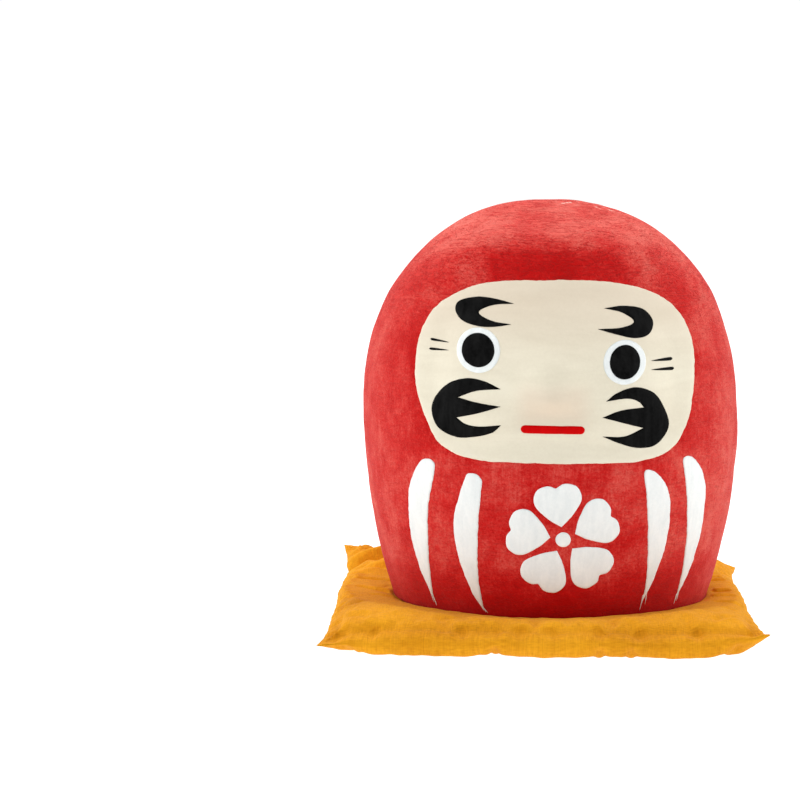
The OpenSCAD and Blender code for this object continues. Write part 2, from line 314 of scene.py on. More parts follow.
def outline_at(z):
    """Radius and outward normal of the plain form at heights z."""
    points, normals, _ = outer_outline(0.25)
    order = np.argsort(points[:, 1])
    zs = points[order, 1]
    return [np.interp(z, zs, v[order]) for v in (points[:, 0], normals[:, 0], normals[:, 1])]


FACE_CURVE = smooth(FACE)[::3]


def features(x, z, front):
    """Height of the moulded features above the plain form, at places across and up."""
    inside = distance_inside(np.c_[x, z], FACE_CURVE)
    centre = step(np.abs(x + 2), 36, 8)
    recess = -1.7 * step(inside, -2, 5) * (1 - 0.5 * step(z, 66, 84))
    hood = 3.2 * step(z, 58, 86) * np.exp(-(((inside + 7) / 5) ** 2)) * (0.2 + 0.8 * centre)
    nose = 2.5 * np.exp(-(((x - 1) / 6.5) ** 2)) * step(z, 72, 57) * step(z, 49, 54)
    cheeks = 0.7 * np.exp(-(((np.abs(x - 1) - 20) / 9) ** 2)) * np.exp(-(((z - 50) / 8) ** 2))
    return (recess + hood + nose + cheeks) * front


def relief(p, z, rough):
    """How far the moulded paper stands off the plain form at points p, in millimetres."""
    front = step(-p[:, 1], 0, 14)
    calm = step(z, 0, 16) * 0.75 + 0.25  # the rim stays round, to pass over the next doll
    form = 0.25 * grain(p, 31, 1) + 0.14 * grain(p, 13, 2)
    layers = 0.1 * grain(p, 5.5, 3) + 0.05 * grain(p, 2.3, 4)
    lopsided = step(p[:, 0], 10, 42) * (0.7 * step(z, 52, 38) + 0.5 * step(z, 66, 78))
    return features(p[:, 0], z, front) + (form + rough * layers) * calm + lopsided


def red_light_shade_and_scuffs(p, z):
    """Painted light and shade on the red at points p, with its rubbed scuffs: below 0 deeper,
    above 0 paler.
    """
    x, front = p[:, 0], p[:, 1] < 0
    # Painted shade: the red is deeper low on the foot, where the cushion shades it.
    foot = -0.7 * step(z, 12, 3) * step(x, 40, 26)
    # Painted shade under the hood, in a band above the face.
    brow_shade = -0.8 * np.exp(-(((x + 6) / 19) ** 2) - ((z - 85) / 4.5) ** 2) * front
    # Paler across the front of the belly.
    belly = 0.3 * step(z, 9, 17) * step(z, 44, 36) * front
    # Painted highlight: pinker shoulders high on the crown's sides.
    shoulder_highlight = np.exp(-(((x + 24) / 13) ** 2)) + 0.75 * np.exp(-(((x - 25) / 12) ** 2))
    shoulder_highlight *= np.exp(-(((z - 87) / 8) ** 2))
    scuffed = sum(np.exp(-(((x - at) / 3) ** 2) - ((p[:, 1] + 7) / 4) ** 2) for at in SCUFFS)
    scuffed *= 3.5 * step(grain(p, 0.9, 12), 0.1, 0.7) * (z > DOLL_H / 2)
    # Painted sheen: paler flanks, more on the right.
    sides = 0.3 * step(np.abs(x), 32, 44) + 0.35 * step(x, 28, 40)
    # The crown's top, from 86 to 94 up, is paler: a painted highlight.
    return foot + brow_shade + belly + shoulder_highlight + sides + step(z, 86, 94) + scuffed


# ---- Meshes ----


def new_piece(name, verts, faces, material):
    """A mesh object from points in millimetres in the CAD's frame."""
    mesh = bpy.data.meshes.new(name)
    mesh.from_pydata((np.asarray(verts) * MM).tolist(), [], faces)
    mesh.validate()
    mesh.shade_smooth()
    mesh.materials.append(material)
    piece = bpy.data.objects.new(name, mesh)
    bpy.context.scene.collection.objects.link(piece)
    return piece


def mark(piece, name, values):
    """Stores a number or a vector for each point of a piece, for its material to read."""
    single = values.ndim == 1
    made = piece.data.attributes.new(name, "FLOAT" if single else "FLOAT_VECTOR", "POINT")
    made.data.foreach_set("value" if single else "vector", values.astype(np.float32).ravel())


def rings(count, columns):
    """Faces between closed rings of points that follow each other."""
    return [
        (j * columns + i, (j + 1) * columns + i, (j + 1) * columns + (i + 1) % columns,
         j * columns + (i + 1) % columns)
        for j in range(count - 1) for i in range(columns)
    ]


def square(half):
    """Corners of a level square round the origin."""
    return [(-half, -half, 0), (half, -half, 0), (half, half, 0), (-half, half, 0)]


def placed(points, size):
    """Takes points from a doll's own frame at full size to the CAD's frame."""
    return np.asarray(points) * size + np.array([0, DOLL_Y, REST_Z])


def shell(doll, size, spacing, outside, inside):
    """The moulded paper of one doll, open at the bottom, and what its paint lies on."""
    wall = WALL / size
    columns = int(2 * math.pi * DOLL_R / spacing)
    points, normals, arc = outer_outline(spacing)
    outer = [(r, z, nr, nz, 1.0) for (r, z), (nr, nz) in zip(points[1:], normals[1:])]
    corner_r = points[-1][0] - RIM_ROUND
    turns = np.linspace(0, math.pi / 2, 5)[1:]
    rim = [
        (corner_r + RIM_ROUND * math.cos(a), RIM_ROUND * (1 - math.sin(a)), math.cos(a),
         -math.sin(a), 1.0)
        for a in turns
    ]
    coarse = slice(1, None, 4)
    inner = [
        (r - wall * nr, z - wall * nz, nr, nz, 0.0)
        for (r, z), (nr, nz) in zip(points[coarse], normals[coarse])
    ][::-1]
    inner = [row for row in inner if row[1] > 0.3 and row[0] > 0.6]
    lip = (inner[0][0], 0.0, 1.0, 0.0, 0.0)
    rows = np.array(outer + rim + [lip] + inner)
    turn = np.arange(columns) * 2 * math.pi / columns
    sin, cos = np.sin(turn), -np.cos(turn)
    r, z, nr, nz, out = (np.repeat(rows[:, i], columns) for i in range(5))
    sin, cos = np.tile(sin, len(rows)), np.tile(cos, len(rows))
    plain = np.c_[r * sin, r * cos, z]
    normal = np.c_[nr * sin, nr * cos, nz]
    verts = plain + normal * relief(plain, z, out)[:, None]
    top = np.array([[0, 0, DOLL_H], [0, 0, DOLL_H - wall]])
    top += np.array([0, 0, 1]) * relief(top, top[:, 2], np.ones(2))[:, None]
    verts = np.concatenate([verts, top])
    faces = rings(len(rows), columns)
    last, crown, under = (len(rows) - 1) * columns, len(verts) - 2, len(verts) - 1
    for i in range(columns):
        k = (i + 1) % columns
        faces.append((crown, i, k))
        faces.append((last + i, under, last + k))
    piece = new_piece(f"{doll}_paper", placed(verts, size), faces, outside)
    piece.data.materials.append(inside)
    index = np.zeros(len(faces), np.int32)
    index[(len(outer) + len(rim)) * columns: last] = 1
    index[last + 1:: 2] = 1  # the inside of the crown, every other face after the rings
    piece.data.polygons.foreach_set("material_index", index)
    arcs = np.interp(rows[: len(outer), 1], points[::-1, 1], arc[::-1])
    strand = np.zeros((len(verts), 3))
    strand[:, :2] = verts[:, :2]
    strand[: len(outer) * columns, 2] = np.repeat(arcs, columns)
    strand[len(outer) * columns:, 2] = arc[-1]
    mark(piece, "strand", strand * size)
    # The red's painted light and shade, with its rubbed scuffs, go to its material.
    mark(piece, "light_shade_and_scuffs", red_light_shade_and_scuffs(verts, verts[:, 2]))
    front = [f for f in faces[: len(outer) * columns] if verts[f[0], 1] < 2]
    tree = BVHTree.FromPolygons([Vector(v) for v in verts], front)
    return piece, tree


def on_surface(tree, places, lift):
    """Points over places (across, up) on a doll's front, lifted off the paper."""
    r, nr, nz = outline_at(places[:, 1])
    result = []
    for (x, z), radius, up, out, high in zip(places, r, nz, nr, lift):
        hit = tree.ray_cast(Vector((x, -2 * DOLL_R, z)), Vector((0, 1, 0)))[0]
        share = min(1.0, abs(x) / radius)
        normal = Vector((out * math.copysign(share, x), -out * math.sqrt(1 - share**2), up))
        result.append(hit + normal * high)
    return result


def corners(outline):
    """Which points of an outline are sharp tips or notches."""
    before, after = outline - np.roll(outline, 1, 0), np.roll(outline, -1, 0) - outline
    turn = np.arctan2(before[:, 0] * after[:, 1] - before[:, 1] * after[:, 0],
                      np.sum(before * after, axis=1))
    return np.where(np.abs(turn) > math.radians(60))[0]


def sideways(outline):
    """Unit vectors square to a closed outline, on the left of its direction."""
    tangent = np.roll(outline, -1, 0) - np.roll(outline, 1, 0)
    side = np.c_[-tangent[:, 1], tangent[:, 0]]
    return side / np.maximum(np.linalg.norm(side, axis=1), 1e-9)[:, None]


def ragged(outline, spacing, amount, seed):
    """An outline with evenly spaced points and the small waver of a brushed edge."""
    sharp = corners(outline)
    starts = sharp if len(sharp) else np.array([0])
    pieces = []
    for start, end in zip(starts, np.r_[starts[1:], starts[0] + len(outline)]):
        part = outline[np.arange(start, end + 1) % len(outline)]
        along = distances(part)
        count = max(3, int(along[-1] / spacing))
        pieces.append(resampled(part, along, np.linspace(0, along[-1], count, endpoint=False)))
    p = np.concatenate(pieces)
    waver = 0.45 * grain(p, 2.6, seed) + 0.35 * grain(p, 0.9, seed + 1) + 0.2 * grain(p, 0.45)
    for tip in outline[sharp]:
        waver *= step(np.linalg.norm(p - tip, axis=1), 0.2, 3)
    return p + sideways(p) * (amount * waver)[:, None]


def film(name, tree, size, outlines, low, high, material, spacing=0.55, waver=0.06):
    """Dried paint inside outlines, from low to high above the paper, in real millimetres."""
    verts, faces = [], []
    edge_r = PAINT_ROUND / size
    for seed, outline in enumerate(outlines):
        rim = ragged(outline, spacing * 0.6, waver, 3 * seed)
        lo, hi = rim.min(0) - spacing, rim.max(0) + spacing
        xs = np.arange(lo[0], hi[0], spacing)
        zs = np.arange(lo[1], hi[1], spacing * 0.87)
        grid = np.array([(x + (j % 2) * spacing / 2, z) for j, z in enumerate(zs) for x in xs])
        area = np.sum(rim[:, 0] * np.roll(rim[:, 1], -1) - rim[:, 1] * np.roll(rim[:, 0], -1))
        inset = rim + sideways(rim) * edge_r * math.copysign(1, area)
        inset = inset[distance_inside(inset, rim) > 0.8 * edge_r]
        grid = grid[distance_inside(grid, rim) > edge_r + spacing * 0.45]
        places = np.concatenate([rim, inset, grid])
        border = [(i, (i + 1) % len(rim)) for i in range(len(rim))]
        flat = delaunay_2d_cdt([Vector(p) for p in places], border, [], 1, 1e-5)
        places, triangles = np.array([tuple(p) for p in flat[0]]), flat[2]
        depth = distance_inside(places, rim)
        share = PAINT_RIM + (1 - PAINT_RIM) * rounded(depth / edge_r)
        top = on_surface(tree, places, (low + (high - low) * share) / size)
        base = on_surface(tree, places, np.full(len(places), (low - PAINT_SINK) / size))
        n, start = len(places), len(verts)
        verts += top + base
        faces += [[start + i for i in t] for t in triangles]
        faces += [[start + n + i for i in reversed(t)] for t in triangles]
        edges = [edge for t in triangles for edge in zip(t, list(t[1:]) + [t[0]])]
        shared = set(edges)
        outer = [(a, b) for a, b in edges if (b, a) not in shared]
        faces += [[start + b, start + a, start + n + a, start + n + b] for a, b in outer]
    return new_piece(name, placed(np.array([tuple(v) for v in verts]), size), faces, material)


# ---- Materials ----


class Shader:
    """A material's nodes, made one at a time."""

    def __init__(self, name):
        self.material = bpy.data.materials.new(name)
        self.material.use_nodes = True
        self.tree = self.material.node_tree
        self.bsdf = self.tree.nodes["Principled BSDF"]

    def add(self, kind, inputs=None, **settings):
        node = self.tree.nodes.new(f"ShaderNode{kind}")
        for key, value in settings.items():
            setattr(node, key, value)
        for key, value in (inputs or {}).items():
            self.put(node.inputs[key], value)
        return node

    def put(self, socket, value):
        """Links a socket to another, or sets its value."""
        if isinstance(value, bpy.types.NodeSocket):
            self.tree.links.new(value, socket)
        else:
            socket.default_value = value

    def places(self):
        """The piece's own coordinates, in millimetres."""
        at = self.add("TexCoord").outputs["Object"]
        return self.scaled(at, (1 / MM,) * 3)

    def scaled(self, vector, scale):
        node = self.add("VectorMath", {0: vector, 1: scale}, operation="MULTIPLY")
        return node.outputs[0]

    def noise(self, at, scale, detail=2.0, rough=0.5, twist=0.0):
        inputs = {"Vector": at, "Scale": scale, "Detail": detail, "Roughness": rough,
                  "Distortion": twist}
        return self.add("TexNoise", inputs).outputs["Fac"]

    def ramp(self, value, *stops):
        """A colour or grey that follows value through (place, colour) stops."""
        node = self.add("ValToRGB", {"Fac": value})
        elements = node.color_ramp.elements
        while len(elements) < len(stops):
            elements.new(0.5)
        for element, (place, colour) in zip(elements, stops):
            element.position = place
            if not isinstance(colour, tuple):
                colour = (colour,) * 3
            element.color = (*colour, 1)
        return node.outputs["Color"]

    def span(self, value, low, high, start=0.0, end=1.0):
        """From start to end as value goes from low to high."""
        inputs = {"Value": value, "From Min": low, "From Max": high, "To Min": start,
                  "To Max": end}
        return self.add("MapRange", inputs, clamp=True).outputs["Result"]

    def math(self, operation, a, b=0.0):
        return self.add("Math", {0: a, 1: b}, operation=operation).outputs[0]

    def weighted(self, *parts):
        """The sum of values, each times its share."""
        total = 0.0
        for value, share in parts:
            total = self.math("ADD", self.math("MULTIPLY", value, share), total)
        return total

    def mix(self, share, a, b):
        node = self.add("Mix", data_type="RGBA")
        for name, value in (("Factor", share), ("A", a), ("B", b)):
            sockets = [s for s in node.inputs if s.name == name and s.enabled]
            if isinstance(value, tuple) and len(value) == 3:
                value = (*value, 1)
            self.put(sockets[0], value)
        return [s for s in node.outputs if s.enabled][0]

    def bump(self, height, distance, strength=1.0, normal=None):
        inputs = {"Height": height, "Distance": distance, "Strength": strength}
        if normal is not None:
            inputs["Normal"] = normal
        return self.add("Bump", inputs).outputs["Normal"]

    def finish(self, **inputs):
        for key, value in inputs.items():
            key = key.replace("_", " ")
            if isinstance(value, tuple) and len(value) == 3:
                value = (*value, 1)
            self.put(self.bsdf.inputs[key], value)
        return self.material


def red_paper():
    """Red paint brushed over mulberry paper: clouds, felted fibres, thin creases, and painted
    light and shade.
    """
    s = Shader("red_paint_on_paper")
    strand = s.add("Attribute", attribute_name="strand").outputs["Vector"]
    # Painted light and shade on the red, with its rubbed scuffs.
    light_shade_and_scuffs = s.add("Attribute", attribute_name="light_shade_and_scuffs").outputs["Fac"]
    height = s.add("SeparateXYZ", {0: strand}).outputs["Z"]
    crown = s.span(height, 30, 60, 1, 0.25)
    clouds = s.noise(strand, 0.1, 3, 0.6, 0.4)
    upright = s.noise(s.scaled(strand, (1.7, 1.7, 0.22)), 1.0, 4, 0.65, 0.5)
    level = s.noise(s.scaled(strand, (0.28, 0.28, 2.1)), 1.0, 4, 0.65, 0.9)
    on_top = s.span(height, 38, 62, 1, 0)
    turned = s.math("MULTIPLY", on_top, s.math("SUBTRACT", level, upright))
    brushed = s.math("ADD", upright, turned)
    felt = s.noise(strand, 0.8, 4, 0.7, 1.4)
    specks = s.noise(strand, 2.8, 2, 0.6, 0.5)
    round_it = s.noise(s.scaled(strand, (0.13, 0.13, 0.6)), 1.0, 3, 0.6, 2.2)
    crease = s.math("ABSOLUTE", s.math("SUBTRACT", round_it, 0.5))
    crease = s.math("MULTIPLY", s.span(crease, 0.004, 0.03, 1, 0), crown)
    tone = s.weighted((clouds, 0.32), (brushed, 0.15), (felt, 0.22), (specks, 0.14),
                      (light_shade_and_scuffs, 0.1), (crease, -0.12))
    colour = s.ramp(
        tone, (0.295, (0.43, 0.0003, 0.0006)), (0.38, (0.50, 0.004, 0.004)),
        (0.445, (0.575, 0.024, 0.020)), (0.535, (0.665, 0.086, 0.066)),
        (0.635, (0.72, 0.14, 0.11)), (0.765, (0.85, 0.55, 0.48)),
    )
    swell = s.weighted((felt, 1), (specks, 0.4), (crease, -1))
    return s.finish(
        Base_Color=colour, Roughness=s.span(felt, 0.3, 0.7, 0.62, 0.82),
        Specular_IOR_Level=0.06, Sheen_Weight=0.1, Sheen_Roughness=0.5,
        Sheen_Tint=(1.0, 0.8, 0.7), Normal=s.bump(swell, 0.0004, 0.6),
    )


def bare_paper():
    """Unpainted paper inside a doll, in pasted sheets of long fibres."""
    s = Shader("bare_paper")
    at = s.places()
    sheets = s.noise(at, 0.08, 4, 0.6, 1.0)
    fibres = s.noise(at, 1.2, 4, 0.7, 2.0)
    tone = s.weighted((sheets, 0.6), (fibres, 0.4))
    colour = s.ramp(tone, (0.35, (0.36, 0.30, 0.22)), (0.65, (0.60, 0.53, 0.42)))
    return s.finish(
        Base_Color=colour, Roughness=s.span(fibres, 0.3, 0.7, 0.8, 0.95),
        Specular_IOR_Level=0.3, Normal=s.bump(tone, 0.0006, 0.6),
    )


def paint(name, dark, light, rough, specular, streak=(0.5, 0.5, 0.12), depth=0.00012):
    """Brushed paint whose colour wavers with the brush, and turns tan where painted shade lies on
    it.
    """
    s = Shader(name)
    at = s.places()
    strokes = s.noise(s.scaled(at, streak), 1.0, 4, 0.6, 0.5)
    tooth = s.noise(at, 1.5, 3, 0.6)
    tone = s.weighted((strokes, 0.7), (tooth, 0.3))
    # Painted shade, where a piece marks it.
    painted_shade = s.add("Attribute", attribute_name="painted_shade").outputs["Fac"]
    colour = s.mix(painted_shade, s.ramp(tone, (0.35, dark), (0.65, light)), (0.62, 0.47, 0.36))
    return s.finish(
        Base_Color=colour,
        Roughness=s.span(tooth, 0.3, 0.7, rough - 0.06, rough + 0.06),
        Specular_IOR_Level=specular, Normal=s.bump(tone, depth, 0.5),
    )


def gold_cotton():
    """Yellow-orange cotton in plain weave, with painted shade where the front seam presses it in.
    """
    s = Shader("gold_cotton")
    at = s.places()
    weave = s.add("Attribute", attribute_name="weave").outputs["Vector"]
    warp = s.noise(s.scaled(weave, (3.2, 0.5, 0)), 1.0, 2, 0.5)
    weft = s.noise(s.scaled(weave, (0.5, 3.2, 0)), 1.0, 2, 0.5)
    clouds = s.noise(at, 0.06, 3, 0.6)
    threads = s.weighted((warp, 0.5), (weft, 0.5))
    # Painted shade in the crease along the front seam.
    shade = s.add("SeparateXYZ", {0: weave}).outputs["Z"]
    tone = s.weighted((threads, 0.6), (clouds, 0.4), (shade, -0.09))
    crinkle = s.noise(at, 0.45, 4, 0.65, 1.2)
    colour = s.ramp(
        tone, (0.3, (0.50, 0.19, 0.002)), (0.4, (0.62, 0.24, 0.003)),
        (0.62, (0.82, 0.36, 0.010)),
    )
    folds = s.bump(crinkle, 0.0007, 0.6)
    return s.finish(
        Base_Color=colour, Roughness=0.85, Specular_IOR_Level=0.12, Sheen_Weight=0.04,
        Sheen_Roughness=0.5, Normal=s.bump(threads, 0.0003, 0.6, folds),
    )


def rough_stuff(name, dark, light, size, rough, depth, sheen=0.0):
    """A dull, speckled material with grain of a size in millimetres and bumps in metres."""
    s = Shader(name)
    at = s.places()
    clouds = s.noise(at, 0.25 / size, 3, 0.6, 0.6)
    fibres = s.noise(at, 1 / size, 5, 0.7, 1.5)
    specks = s.noise(at, 4 / size, 2, 0.6)
    tone = s.weighted((clouds, 0.4), (fibres, 0.35), (specks, 0.25))
    return s.finish(
        Base_Color=s.ramp(tone, (0.38, dark), (0.62, light)),
        Roughness=s.span(fibres, 0.3, 0.7, rough - 0.08, rough + 0.05),
        Specular_IOR_Level=0.25, Sheen_Weight=sheen, Normal=s.bump(tone, depth, 0.7),
    )


RED = red_paper()
BARE = bare_paper()
CREAM = paint("cream_paint", (0.70, 0.645, 0.51), (0.77, 0.72, 0.58), 0.5, 0.2,
              (0.05, 0.05, 0.25), 0.0001)
WHITE = paint("white_paint", (0.72, 0.76, 0.76), (0.82, 0.85, 0.84), 0.55, 0.2)
BLACK = paint("black_paint", (0.001, 0.001, 0.001), (0.008, 0.008, 0.008), 0.35, 0.03)
LIP_RED = paint("lip_red_paint", (0.50, 0.0005, 0.001), (0.62, 0.001, 0.002), 0.4, 0.03)
GOLD = gold_cotton()
COTTON = rough_stuff("cotton_wadding", (0.62, 0.58, 0.50), (0.85, 0.83, 0.77), 2.5, 0.9,
                     0.0015, 0.3)
CLAY = rough_stuff("dried_clay", (0.16, 0.13, 0.10), (0.36, 0.31, 0.25), 1.6, 0.88, 0.0006)
CARD = rough_stuff("raw_card", (0.30, 0.25, 0.19), (0.50, 0.44, 0.35), 1.0, 0.85, 0.0003)


# ---- Dolls ----


def make_doll(doll, spacing):
    """One doll: its paper in cells about spacing wide, and its coats of paint."""
    size = size_of(doll)
    body = f"{doll}_doll"
    paper, tree = shell(doll, size, spacing, RED, BARE)
    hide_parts(f"{doll}_shell")
    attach(paper, body)

    def coat(part, node, slot, outlines, material, level, **options):
        """One colour for a CAD node, lying on as many other coats as its level says."""
        node = [f"{doll}_{node}"]
        low, high = level * COAT, (level + 1) * COAT
        piece = film(f"{doll}_{part}", tree, size, outlines, low, high, material, **options)
        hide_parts(*node)
        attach(piece, body)
        return piece

    eyes = (RIGHT_EYE, LEFT_EYE)
    face = coat("face_paint", "face_ground", "cream_paint", [smooth(FACE)], CREAM, 0,
                spacing=0.8, waver=0.2)
    at = np.array([v.co for v in face.data.vertices]) / MM
    across, up = at[:, 0] / size, (at[:, 2] - REST_Z) / size
    # Painted shade on the face: tan under the nose, and darker along the top under the hood.
    painted_shade = 0.4 * step(np.abs(across - 1), 11, 5) * step(np.abs(up - 52), 7, 2)
    painted_shade += 0.35 * step(up, 58, 79)
    mark(face, "painted_shade", painted_shade)
    coat("eye_white_paint", "eye_whites", "white_paint", [oval(e[0], e[2]) for e in eyes],
         WHITE, 1)
    brows = [smooth(RIGHT_BROW), smooth(LEFT_BROW)]
    whiskers = [smooth(RIGHT_WHISKERS), smooth(LEFT_WHISKERS)]
    creases = [tapered(*c) for c in CREASES]
    pupils = [oval(e[0], e[1]) for e in eyes]
    robe = [smooth(o) for o in STRIPES] + [tapered(*h) for h in STRIPE_HAIRS]
    if doll == "large":
        coat("right_pupil_paint", "right_pupil", "black_paint", pupils[:1], BLACK, 2)
        coat("left_pupil_paint", "left_pupil", "black_paint", pupils[1:], BLACK, 2)
        coat("eyebrow_paint", "eyebrows", "black_paint", brows, BLACK, 1)
        coat("whisker_paint", "cheek_whiskers", "black_paint", whiskers, BLACK, 1)
        coat("crease_paint", "eye_creases", "black_paint", creases, BLACK, 1,
             spacing=0.3, waver=0.02)
        coat("stripe_paint", "robe_stripes", "white_paint", robe, WHITE, 0, waver=0.18)
        coat("blossom_paint", "belly_blossom", "white_paint", blossom(), WHITE, 0, waver=0.1)
    else:
        coat("pupil_paint", "pupils", "black_paint", pupils, BLACK, 2)
        coat("brow_and_whisker_paint", "black_marks", "black_paint",
             brows + whiskers + creases, BLACK, 1, spacing=0.5, waver=0.04)
        coat("robe_paint", "robe_marks", "white_paint", robe + blossom(), WHITE, 0, waver=0.15)
    coat("mouth_paint", "mouth", "lip_red_paint", [bar(*MOUTH)], LIP_RED, 1)


for doll, spacing in (("large", 0.6), ("medium", 0.9), ("small", 1.1)):
    make_doll(doll, spacing)
for node, material in (("small_clay_weight", CLAY), ("small_base_disc", CARD)):
    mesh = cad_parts[node].data
    mesh.materials.clear()
    mesh.materials.append(material)

# ---- Cushion ----
# The sewn edge lies askew under the doll: one corner is pushed up, another lies low.
# Each side is a row of (x, y, z) places from one corner tip to the next.

FRONT_EDGE = [
    (-54.4, -57.5, 2.7), (-48.5, -57, 3), (-38, -57.6, 3.3), (-20, -58.8, 3.6),
    (5, -59.4, 3.8), (28, -59.2, 3.9), (42, -58, 4.4), (51.9, -57, 6.2),
]
RIGHT_EDGE = [
    (51.9, -57, 6.2), (50.8, -50.5, 5.2), (50.1, -42, 4.7), (49.4, -22, 4.3),
    (48.9, 0, 4.2), (48.5, 22, 4.2), (48.8, 42, 4.3), (50.3, 51, 5),
]
BACK_EDGE = [
    (-55.2, 51.5, 10.4), (-50, 50.6, 10), (-42, 50, 9), (-26, 50, 5.5), (0, 50.3, 4),
    (26, 50.2, 4), (43, 50.2, 4.3), (50.3, 51, 5),
]
LEFT_EDGE = [
    (-54.4, -57.5, 2.7), (-53.1, -50.5, 3.2), (-52.7, -41, 3.6), (-52.7, -22, 4.2),
    (-53.1, 0, 4.6), (-53.4, 20, 4.8), (-53.2, 35, 5.2), (-53.9, 45, 8), (-55.2, 51.5, 10.4),
]
CREST_LIMIT = 7.4  # the doll's weight keeps the cloth in front of it under this
COLLAR_Z = 6.9  # height of the cloth that lies against the doll
TIP_REACH = (15, 6, 15, 8)  # how far each corner tip thins the filling
STIFF_CORNER = 7  # how far from a tip the turned seam keeps its sewn line
CREST = 8.4  # height of the puffed top between the doll and the edge
CREST_REACH = 9  # how far in from the edge the top is at its crest
SEAT_FADE = (44, 39)  # radii between which the top dips to its seat under the doll
LOW_Z = 0.15  # height of the underside before it settles on the table
CLOTH_CELLS = 56  # cells along a side of a panel in the simulation
FINER = 4  # cells of the finished cloth for each simulated one
HELD_R = 37.5  # the cloth inside this radius is pressed down by the doll
SEAT_GAP = 0.05  # between the doll's rim and the cloth under it
SIDE_GAP = 0.25  # between the doll's side and the cloth against it
TABLE_GAP = 0.03  # between the table and the cloth
FILLING = 0.6  # thickness of the wadding as a share of the room in the cover
FILLING_EDGE = 0.09  # width of its rounded edge as a share of its own width
CLOTH_SCALE = 10  # the solver is at its best on something about a metre wide
SETTLE_FRAMES = 40
CLOTH_SETTINGS = {
    "quality": 6, "mass": 0.2, "air_damping": 2,
    "tension_stiffness": 20, "compression_stiffness": 20, "shear_stiffness": 8,
    "bending_stiffness": 0.1, "tension_damping": 10, "compression_damping": 10,
    "shear_damping": 10, "bending_damping": 1, "use_pressure": True,
    "uniform_pressure_force": 5, "shrink_min": -0.03, "shrink_max": 0.05,
}
# Folds in the cushion's top: two ends in plan, half-width, depth.
FOLDS = [
    ((-55, 37), (-38, 35), 1.5, 2.2), ((-52, 41), (-46, 49), 1.2, 1.0),
    ((-49, 26), (-43, 21), 1.1, 1.5), ((-50, 14), (-40, 11), 0.9, 1.1),
    ((-49, 2), (-39, -4), 0.9, 1.0), ((-46, -10), (-36, -13), 0.9, 0.7),
    ((40.5, 16), (45, 15), 0.7, 1.4), ((41, 1), (45.5, 0.5), 0.7, 1.5),
    ((40, -7.5), (46, -8.5), 0.8, 1.4), ((40, -16), (47, -19), 0.9, 0.8),
    ((-50, -44), (-43, -50), 1.0, 0.5), ((45, -47), (38, -51), 1.0, 0.5),
]


def curve_through(places, count):
    """Evenly spaced points on a smooth curve through a row of places."""
    p = np.array(places, float)
    grid = finer(np.stack([p, p], 1), 24)[:, 0]
    along = distances(grid)
    return resampled(grid, along, np.linspace(0, along[-1], count))


def finer(grid, times):
    """A grid of points with more cells each way, on smooth curves through it."""
    for axis in (0, 1):
        g = np.moveaxis(grid, axis, 0)
        n = len(g)
        at = np.linspace(0, n - 1, (n - 1) * times + 1)
        i = np.minimum(at.astype(int), n - 2)
        t = (at - i)[:, None, None]
        a, b = g[i], g[i + 1]
        before, after = g[np.maximum(i - 1, 0)], g[np.minimum(i + 2, n - 1)]
        ta = np.where((i > 0)[:, None, None], (b - before) / 2, b - a)
        tb = np.where((i < n - 2)[:, None, None], (after - a) / 2, b - a)
        grid = np.moveaxis(between(t, a, b, ta, tb), 0, axis)
    return grid


def spanned(n):
    """An n by n sheet of places stretched between the four sides of the sewn edge."""
    front, back = curve_through(FRONT_EDGE, n)[:, None], curve_through(BACK_EDGE, n)[:, None]
    left, right = curve_through(LEFT_EDGE, n)[None], curve_through(RIGHT_EDGE, n)[None]
    u = np.linspace(0, 1, n)[:, None, None]
    v = np.linspace(0, 1, n)[None, :, None]
    twisted = ((1 - u) * (1 - v) * front[0, 0] + u * (1 - v) * front[-1, 0]
               + (1 - u) * v * back[0, 0] + u * v * back[-1, 0])
    return (1 - v) * front + v * back + (1 - u) * left + u * right - twisted


def pillow_faces(n):
    """Faces of two n by n panels that share their border, top panel first."""
    top = np.arange(n * n).reshape(n, n)
    low = top.copy()
    low[1:-1, 1:-1] = n * n + np.arange((n - 2) ** 2).reshape(n - 2, n - 2)
    faces = []
    for grid, turn in ((top, 1), (low, -1)):
        quads = np.stack([grid[:-1, :-1], grid[1:, :-1], grid[1:, 1:], grid[:-1, 1:]], 2)
        faces += quads.reshape(-1, 4)[:, ::turn].tolist()
    return faces, top, low


def to_edge(n):
    """Distance of each place on an n by n panel from the sewn edge, along the cloth."""
    line = np.linspace(0, 1, n)
    near = np.minimum(line, 1 - line) * (CUSHION_HIGH[0] - CUSHION_LOW[0])
    return np.minimum(near[:, None], near[None])


